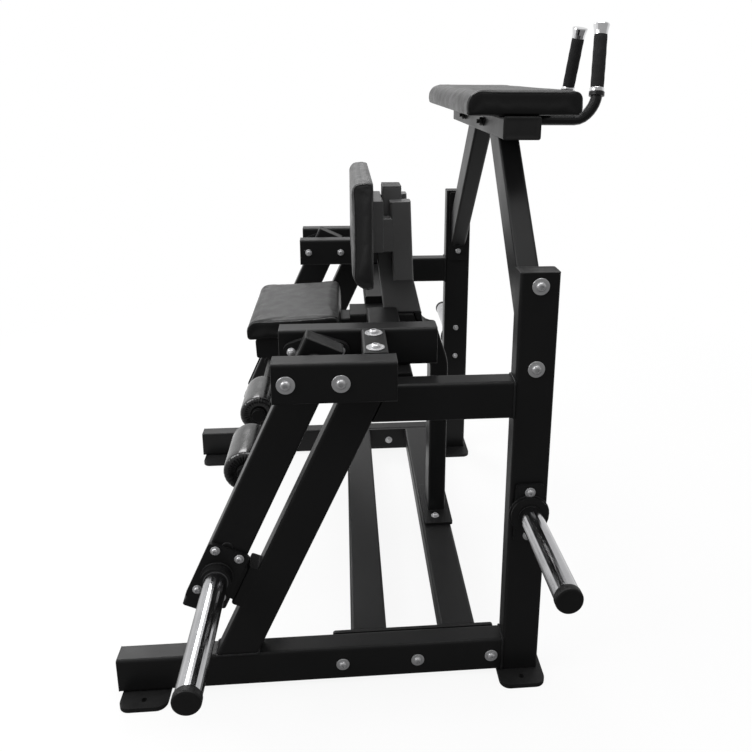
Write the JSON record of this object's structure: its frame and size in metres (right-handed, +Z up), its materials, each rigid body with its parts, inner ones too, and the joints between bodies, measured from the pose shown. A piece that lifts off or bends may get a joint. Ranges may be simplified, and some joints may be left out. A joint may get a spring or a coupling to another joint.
{
  "type": "iso-lateral hamstring machine",
  "caption": "Kneeling hamstring curl machine: welded tube frame, two independent plate-loaded lever arms with ankle rollers, knee, thigh and elbow pads, upright handles and storage horns.",
  "frame": {"origin": "on the floor, under the middle of the machine's box", "axes": "+X from the knee pad towards the handles, +Y across the machine away from the camera, +Z up"},
  "size_m": [1.1281, 1.74, 1.4132],
  "materials": {
    "black_coat": "satin black powder coat",
    "chrome": "polished chrome plate",
    "black_cap": "moulded black plastic",
    "vinyl": "black upholstery vinyl with a fine grain",
    "rubber": "matt black rubber",
    "foam_grip": "matt foam rubber",
    "zinc_steel": "zinc-plated steel"
  },
  "bodies": {
    "frame": {"bearing_inner_far": "black_coat", "bearing_inner_near": "black_coat", "bearing_outer_far": "black_coat", "bearing_outer_near": "black_coat", "centre_beam": "black_coat", "centre_upright": "black_coat", "cross_beam_front": "black_coat", "cross_beam_rear": "black_coat", "cross_plate_far": "black_coat", "cross_plate_near": "black_coat", "elbow_pad": "vinyl", "foot_front_far": "black_coat", "foot_front_near": "black_coat", "foot_rear_far": "black_coat", "foot_rear_near": "black_coat", "grip_cap_far": "chrome", "grip_cap_near": "chrome", "grip_far": "foam_grip", "grip_near": "foam_grip", "handle_far": "black_coat", "handle_near": "black_coat", "head_block_far": "black_coat", "head_block_near": "black_coat", "inner_beam_far": "black_coat", "inner_beam_near": "black_coat", "knee_pad": "vinyl", "leg_far": "black_coat", "leg_near": "black_coat", "mid_tube_far": "black_coat", "mid_tube_near": "black_coat", "outer_beam_far": "black_coat", "outer_beam_near": "black_coat", "rail_far": "black_coat", "rail_near": "black_coat", "rest_beam": "black_coat", "stop_bumper_far": "rubber", "stop_bumper_near": "rubber", "storage_horn_cap_far": "black_cap", "storage_horn_cap_near": "black_cap", "storage_horn_far": "chrome", "storage_horn_near": "chrome", "strut_far": "black_coat", "strut_near": "black_coat", "thigh_bracket": "black_coat", "thigh_pad": "vinyl", "thigh_post": "black_coat", "upper_beam_far": "black_coat", "upper_beam_near": "black_coat", "upright_far": "black_coat", "upright_near": "black_coat"},
    "arm_near": {"arm_near": "black_coat", "load_horn_near": "chrome", "load_horn_cap_near": "black_cap", "roller_axle_near": "zinc_steel"},
    "roller_near": {"roller_near": "vinyl"},
    "arm_far": {"arm_far": "black_coat", "load_horn_far": "chrome", "load_horn_cap_far": "black_cap", "roller_axle_far": "zinc_steel"},
    "roller_far": {"roller_far": "vinyl"}
  },
  "joints": [
    {"name": "arm_near_swing", "type": "hinge", "parent": "frame", "child": "arm_near", "pos_m": [-0.1295, -0.515, 0.748], "axis": [0, 1, 0], "range_deg": [0, 100]},
    {"name": "roller_near_spin", "type": "hinge", "parent": "arm_near", "child": "roller_near", "pos_m": [-0.31784, -0.1585, 0.35474], "axis": [0, 1, 0], "continuous": true},
    {"name": "arm_far_swing", "type": "hinge", "parent": "frame", "child": "arm_far", "pos_m": [-0.1295, 0.515, 0.748], "axis": [0, 1, 0], "range_deg": [0, 100]},
    {"name": "roller_far_spin", "type": "hinge", "parent": "arm_far", "child": "roller_far", "pos_m": [-0.31784, 0.1585, 0.35474], "axis": [0, 1, 0], "continuous": true}
  ]
}
